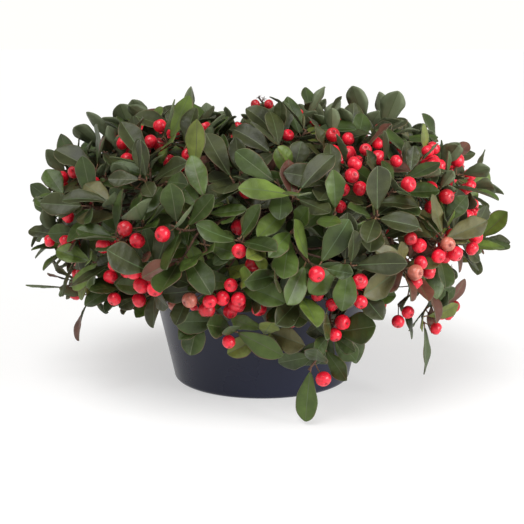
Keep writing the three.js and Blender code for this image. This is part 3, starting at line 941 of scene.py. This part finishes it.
BERRY_POINTS, BERRY_QUADS, BERRY_ENDS = berry_pattern()
STAR_POINTS, STAR_FACES = star_pattern()
STAR_SLOT = len(BERRY_TINTS)


def facing_frames(ways, spins):
    """Frames whose Z runs against each way, turned about it by each spin in degrees."""
    across = np.array([turned_about(any_across(way), way, spin) for way, spin in zip(ways, spins)])
    return np.stack([across, np.cross(-ways, across), -ways], axis=1)


def add_dry_stars(pile, twigs, slot, draw):
    """Clusters of small dry lobes at the ends of bare twigs, where flowers have been."""
    stalks, centres, ways = [], [], []
    for twig in twigs:
        for _ in range(DRY.stars):
            way = unit(twig.axis + DRY.spread * scatter(draw))
            end = twig.tip + DRY.stalk * way
            stalks.append([twig.tip - 0.5 * twig.axis, lerp(twig.tip, end, 0.5), end])
            centres.append(end - STAR.depth * DRY.radius * way)
            ways.append(way)
    if stalks:
        frames = facing_frames(np.array(ways), [360 * draw() for _ in ways])
        add_tubes(pile, stalks, np.full((len(stalks), 3), DRY.stalk_radius), STALK.sides, slot)
        points = np.array(centres)[:, None] + DRY.radius * (STAR_POINTS * [2, 2, 1] @ frames)
        pile.add(points, (STAR_FACES, slot))


def add_berries(pile, berries):
    """The berries of a mass, each turned so that its star points away from its stalk."""
    frames = facing_frames(gather(berries, "way"), gather(berries, "spin"))
    radii = gather(berries, "radius")[:, None, None]
    centres = gather(berries, "centre")[:, None]
    shapes = gather(berries, "shape")[:, None]
    tints = gather(berries, "tint")[:, None]
    balls = centres + radii * ((BERRY_POINTS * shapes) @ frames)
    stars = centres + radii * ((STAR_POINTS * shapes) @ frames)
    pile.add(balls, (BERRY_QUADS, tints), (BERRY_ENDS, tints))
    pile.add(stars, (STAR_FACES, STAR_SLOT))


# Materials.

def set_inputs(node, **inputs):
    for key, value in inputs.items():
        node.inputs[key.replace("_", " ")].default_value = value


def add_node(owner, kind, **inputs):
    """A node for a material or the world, with some of its inputs set."""
    node = owner.node_tree.nodes.new(f"ShaderNode{kind}")
    set_inputs(node, **inputs)
    return node


def principled(name, colour, roughness, **inputs):
    """A material with its plain colour on the shader, and its node tree for more."""
    material = bpy.data.materials.new(name)
    material.use_nodes = True
    shader = material.node_tree.nodes["Principled BSDF"]
    set_inputs(shader, Base_Color=(*colour, 1), Roughness=roughness, **inputs)
    return material


def lead_noise(material, scale, detail, node, inlet, outlet, socket):
    """Leads noise through a node to a socket of the material's shader."""
    nodes, links = material.node_tree.nodes, material.node_tree.links
    place = add_node(material, "TexCoord")
    texture = add_node(material, "TexNoise", Scale=scale, Detail=detail)
    links.new(place.outputs["Object"], texture.inputs["Vector"])
    links.new(texture.outputs[0], node.inputs[inlet])
    links.new(node.outputs[outlet], nodes["Principled BSDF"].inputs[socket])


def grain(material, scale, strength, depth, detail=3):
    """A fine bump, with its depth in metres."""
    bump = add_node(material, "Bump", Strength=strength, Distance=depth)
    lead_noise(material, scale, detail, bump, "Height", "Normal", "Normal")


def vary(material, low, high, scale, detail, socket="Base Color"):
    """Lets noise move a colour, or a number that is given as a grey, between two values."""
    ramp = add_node(material, "ValToRGB")
    for stop, position, colour in zip(ramp.color_ramp.elements, RAMP_STOPS, (low, high)):
        stop.position = position
        stop.color = (*colour, 1)
    lead_noise(material, scale, detail, ramp, "Fac", "Color", socket)


def skin(name, colour, roughness, low, high, scale, detail, bump, **inputs):
    """A material whose colour noise moves between two others, with a fine bump."""
    material = principled(name, colour, roughness, **inputs)
    vary(material, low, high, scale, detail)
    grain(material, *bump)
    return material


def skins(tints, look):
    """A skin for each tint, which noise moves between a darker and a lighter share of it."""
    return [
        skin(name, colour, look.roughness, [c * look.dark for c in colour],
             [c * look.light for c in colour], look.scale, look.detail, look.bump,
             Specular_IOR_Level=look.specular)
        for name, colour in tints.items()
    ]


def bark_material(name, dark, light, scale, roughness=0.75, detail=6):
    """Bark or a stalk's skin, with a bump three times as fine as its colours."""
    bump = (3 * scale, 0.5, 0.0005, 4)
    return skin(name, light, roughness, dark, light, scale, detail, bump)


def pot_material():
    look = POT_LOOK
    material = principled("pot_plastic", look.colour, look.roughness, Specular_IOR_Level=look.specular)
    vary(material, [look.smooth] * 3, [look.rough] * 3, look.scale, look.detail, "Roughness")
    grain(material, *look.bump)
    return material


# Pot, potting mix and bark.

def dress(piece, node):
    """Puts a piece on the model in place of one of its nodes."""
    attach(piece, "root")
    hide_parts(node)


def arc(centre, radius, start, end, steps):
    """Profile points on an arc, with its angles in degrees."""
    angles = [math.radians(lerp(start, end, i / steps)) for i in range(steps + 1)]
    return [(centre[0] + radius * math.cos(a), centre[1] + radius * math.sin(a)) for a in angles]


def pot_profile():
    """The bowl's section: foot, wall, rim band with rounded edges, and the inside down to its floor."""
    band = POT.height - POT.rim_band
    top = POT.height - POT.rim_ease
    ease = POT.rim_ease
    foot = POT.foot_round
    stand = POT.base_radius - foot - POT.stand
    inner_top = POT.wall_top_radius - POT.wall
    inner_foot = POT.base_radius - POT.wall
    profile = [(0, POT.recess), (stand - 1, POT.recess), (stand, 0)]
    profile += arc((POT.base_radius - foot, foot), foot, -90, 0, 8)
    profile += [(lerp(POT.base_radius, POT.wall_top_radius, share), lerp(foot, band, share))
                for share in POT.wall_rows]
    profile += arc((POT.rim_radius - ease, band + ease), ease, -70, 0, 5)
    profile += arc((POT.rim_radius - ease, top), ease, 0, 90, 6)
    profile += arc((inner_top + ease, top), ease, 90, 180, 6)
    profile += [(inner_foot, POT.floor + foot), (inner_foot - foot, POT.floor), (0, POT.floor)]
    return profile


def plain_piece(name, material, points, quads, ends):
    pile = Pile()
    pile.add(points[None], (quads, 0), (ends, 0))
    return pile.make(name, [material])


def make_pot():
    piece = plain_piece("pot_bowl", pot_material(), *turned(pot_profile(), POT.sides))
    piece.data.set_sharp_from_angle(angle=math.radians(POT.sharp_from))
    dress(piece, "pot")


def make_mix():
    """The mix's crumbly surface over a plain body."""
    inner = POT.wall_top_radius - POT.wall - MIX.gap
    foot = POT.base_radius - POT.wall - MIX.gap
    bottom = POT.floor + MIX.gap
    edge = MIX.top - MIX.edge_drop
    profile = [(0, bottom), (foot - POT.foot_round, bottom), (foot, POT.floor + MIX.foot_rise)]
    profile.append((lerp(foot, inner, MIX.body_to), edge - 1))
    for i in range(MIX.rings):
        reach = lerp(lerp(foot, inner, MIX.edge_at), 0, i / MIX.rings)
        rise = clamp((inner - reach) / MIX.edge_band, 0, 1)
        profile.append((reach, lerp(edge, MIX.top, rise)))
    profile.append((0, MIX.top))
    points, quads, ends = turned(profile, MIX.sides)
    for point in points:
        if point[2] > edge - 0.5:
            place = Vector((point[0] * MIX.crumb_scale, point[1] * MIX.crumb_scale, 3.0))
            crumbs = noise.fractal(place, MIX.crumb_fade, 2.0, MIX.octaves)
            point[2] += MIX.crumb * crumbs - MIX.sink
    piece = plain_piece("mix_surface", skin(*MIX_LOOK), points, quads, ends)
    dress(piece, "potting_mix")


def limb_radius(size, share):
    return lerp(size.foot, size.tip, share) + size.flare * math.exp(-size.flare_fade * share)


def make_limb(limb, material):
    """A woody limb with wrinkled bark and faint rings where old leaves stood."""
    line = curve_line(limb.curve, LIMB.rings)
    radii = np.array([[limb_radius(limb.size, i / (LIMB.rings - 1)) for i in range(LIMB.rings)]])
    pile = Pile()
    add_tubes(pile, line[None], radii, LIMB.sides, 0)
    points = pile.points[0]
    for i in range(len(points)):
        ring = i // LIMB.sides
        out = points[i] - line[ring]
        x, y, z = Vector(points[i] * LIMB.scale)
        across = LIMB.ridge_across
        wrinkle = noise.noise(Vector((x * across, y * across, z * LIMB.ridge_along)))
        wander = noise.noise(Vector((ring * LIMB.node_drift, 7, 1)))
        node = max(0.0, math.cos(ring * LIMB.node_turn + 3 * wander)) ** LIMB.node_sharp
        points[i] = line[ring] + out * (1 + LIMB.ridge * wrinkle + LIMB.node * node)
    points[:, 2] = np.maximum(points[:, 2], MIX.top)
    dress(pile.make(f"bark_{limb.name}", [material]), limb.name)


# The crown's pieces.

def pick_tint(place, draw):
    """A leaf tint for a spray at a place."""
    shares = TOP_SHARES if place[2] > TOP_FROM else FLANK_SHARES
    if in_thin_side(place, THIN.tint_over):
        shares = THIN_SHARES
    left = draw()
    for name, share in zip(LEAF_TINTS, shares):
        left -= share
        if left <= 0:
            return name
    return "leaf_deep"


def stem_line(mass):
    """A mass's own stem, from its limb's tip, bending to its heart."""
    reach = np.linalg.norm(mass.heart - mass.entry)
    return [mass.entry, mass.entry + MASS_STEM.bend * reach * mass.way, mass.heart]


def add_twigs(pile, twigs):
    """The twigs' tubes, those of one kind and colour in one go."""
    share = np.linspace(0, 1, TWIG.rings)
    for name, kind in KINDS.items():
        for young in (False, True):
            lines = [curve_line(twig.curve, TWIG.rings) for twig in twigs
                     if twig.kind == name and twig.young == young]
            if lines:
                radii = np.tile(lerp(*kind.radii, share), (len(lines), 1))
                add_tubes(pile, lines, radii, TWIG.sides, YOUNG_SLOT if young else BARK_SLOT)


def add_leaf_stalks(pile, leaves):
    roots, ways = gather(leaves, "root"), gather(leaves, "along")
    lengths = gather(leaves, "petiole")[:, None]
    stalks = np.stack([roots, roots + 0.5 * lengths * ways, roots + (lengths + 1) * ways], axis=1)
    add_tubes(pile, stalks, np.tile(STALK.leaf_radii, (len(stalks), 1)), STALK.sides, STALK_SLOT)


def add_berry_stalks(pile, berries):
    stalks = []
    for berry in berries:
        end = berry.centre - STALK.into * berry.radius * berry.way
        sag = lerp(berry.base, end, 0.5) - STALK.sag * UP
        stalks.append(curve_line([berry.base, sag, end], STALK.rings))
    radii = np.full((len(stalks), STALK.rings), STALK.berry_radius)
    add_tubes(pile, stalks, radii, STALK.sides, STALK_SLOT)


def add_mass_stem(pile, mass):
    radii = lerp(*MASS_STEM.radii, np.linspace(0, 1, MASS_STEM.rings))[None]
    line = curve_line(stem_line(mass), MASS_STEM.rings)
    add_tubes(pile, line[None], radii, MASS_STEM.sides, BARK_SLOT)


def make_mass(mass, blades, wood, fruit, draw):
    """A mass's leaves, its twigs and stalks, and its berries, each joined into one piece."""
    leaves, twigs, berries = Pile(), Pile(), Pile()
    add_leaves(leaves, mass.leaves)
    add_mass_stem(twigs, mass)
    add_twigs(twigs, mass.twigs)
    add_leaf_stalks(twigs, mass.leaves)
    leafless = [twig for twig in mass.twigs if not KINDS[twig.kind].leaves]
    if mass.berries:
        add_berry_stalks(twigs, mass.berries)
        add_berries(berries, mass.berries)
    add_dry_stars(twigs, leafless, BARK_SLOT, draw)
    kinds = (
        ("leaves", leaves, blades, "foliage"), ("twigs", twigs, wood, "bark"),
        ("berries", berries, fruit, "berry"),
    )
    for kind, pile, materials, slot in kinds:
        if pile.points:
            dress(pile.make(f"{kind}_{mass.name}", materials), f"foliage_{mass.name}")


def grow_wood(limbs, masses, room, draw):
    """All twigs, before any leaf or berry, so that none of those grows through one."""
    for limb in limbs:
        room.add_wood(limb.curve, limb.size.foot, limb)
    for mass in masses:
        room.add_wood(stem_line(mass), MASS_STEM.radii[0], mass)
        mass.twigs = grow_twigs(mass, draw)
        for twig in mass.twigs:
            twig.tint = HANGING.tint if hangs(twig) else pick_tint(twig.tip, draw)
            twig.young = twig.kind == "fine" and draw() < FINE.young
            room.add_wood(twig.curve, TWIG.room, twig)


def grow_fruit(mass, room, draw):
    """A mass's berries, after the leaves of its hanging twigs, which always find room."""
    low_twigs = [twig for twig in mass.twigs if hangs(twig)]
    mass.leaves = [leaf for twig in low_twigs for leaf in grow_rosette(twig, room, draw)]
    fruiting = [twig for twig in mass.twigs if draw() < KINDS[twig.kind].fruiting or hangs(twig)]
    mass.berries = [berry for twig in fruiting for berry in grow_berries(twig, room, draw)]
    for berry in mass.berries:
        # Most berries are red. A share takes the darker copy, which is painted shade, and a few take
        # the pale tint.
        berry.tint = 0 if draw() < 1 - BERRY.deep else 1 if draw() < 1 - BERRY.pale else 2


def grow_leaves(mass, room, draw):
    for twig in mass.twigs:
        mass.leaves += [] if hangs(twig) else grow_rosette(twig, room, draw)
    for leaf in mass.leaves:
        if draw() < STRAY_TINT:
            leaf.tint = pick_tint(leaf.root, draw)


def make_plant():
    limbs, masses = plan_plant()
    add_tips(masses)
    draw = random_source(DRESS_SEED)
    bark = bark_material(*BARK_LOOK)
    for limb in limbs:
        make_limb(limb, bark)
    room = Room()
    grow_wood(limbs, masses, room, draw)
    for mass in masses:
        grow_fruit(mass, room, draw)
    blades = skins(LEAF_TINTS, LEAF_LOOK) + [skin(*look) for look in LEAF_PARTS]
    wood = [bark_material(*look) for look in TWIG_LOOKS]
    fruit = skins(BERRY_TINTS, BERRY_LOOK) + [skin(*BERRY_STAR)]
    for mass in masses:
        grow_leaves(mass, room, draw)
        for twig in mass.twigs:
            mass.berries += grow_tip_berries(twig, room) if twig.kind == "sprig" else []
        make_mass(mass, blades, wood, fruit, draw)


# Floor, light and camera.

def make_stage():
    half = LIGHT.floor_half
    floor = bpy.data.meshes.new("floor")
    corners = [(-half, -half, 0), (half, -half, 0), (half, half, 0), (-half, half, 0)]
    floor.from_pydata(corners, [], [(0, 1, 2, 3)])
    glow = {"Emission_Color": (1, 1, 1, 1), "Emission_Strength": LIGHT.floor_glow}
    floor.materials.append(principled("floor_pale", LIGHT.floor_tone, 1.0, **glow))
    piece = new_object("floor", floor)


def make_world():
    """A pale room: white at the horizon, so that the floor runs into it, and dimmer above."""
    world = bpy.data.worlds.new("studio")
    world.use_nodes = True
    background, links = world.node_tree.nodes["Background"], world.node_tree.links
    place = add_node(world, "TexCoord")
    split = add_node(world, "SeparateXYZ")
    fade = add_node(
        world, "MapRange", From_Min=LIGHT.horizon, From_Max=LIGHT.horizon + LIGHT.horizon_fade,
        To_Min=LIGHT.low_sky, To_Max=LIGHT.high_sky,
    )
    fade.interpolation_type = "SMOOTHSTEP"
    links.new(place.outputs["Generated"], split.inputs["Vector"])
    links.new(split.outputs["Z"], fade.inputs["Value"])
    links.new(fade.outputs["Result"], background.inputs["Strength"])
    set_inputs(background, Color=LIGHT.tone)
    bpy.context.scene.world = world


def aim(name, data, place, way):
    """A lamp or the camera, at a place in metres and looking one way."""
    item = new_object(name, data)
    item.location = place
    item.rotation_euler = way.to_track_quat("-Z", "Y").to_euler()
    return item


def add_lamp(name, kind, place, strength, size):
    """A lamp that points at the crown: size is the angle of a SUN, and the width of an AREA."""
    light = bpy.data.lights.new(name, kind)
    light.energy = strength
    if kind == "SUN":
        light.angle = math.radians(size)
    else:
        light.shape = "DISK"
        light.size = size
    aim(name, light, place, Vector(LIGHT.aim) - Vector(place))


def make_light():
    make_world()
    add_lamp("overhead", "SUN", LIGHT.overhead_at, LIGHT.overhead, LIGHT.overhead_angle)
    add_lamp("right", "AREA", LIGHT.right_at, LIGHT.right, LIGHT.right_size)
    bpy.context.scene.view_settings.view_transform = "Standard"


def make_camera():
    data = bpy.data.cameras.new("camera")
    data.sensor_width = CAMERA.sensor
    data.lens = CAMERA.focal_px / CAMERA.frame_px * CAMERA.sensor
    elevation = math.radians(CAMERA.elevation)
    target = Vector((0, 0, CAMERA.height * MM))
    back = Vector((0, -math.cos(elevation), math.sin(elevation)))
    bpy.context.scene.camera = aim("camera", data, target + back * CAMERA.distance * MM, -back)


make_camera()
make_stage()
make_light()
make_pot()
make_mix()
make_plant()
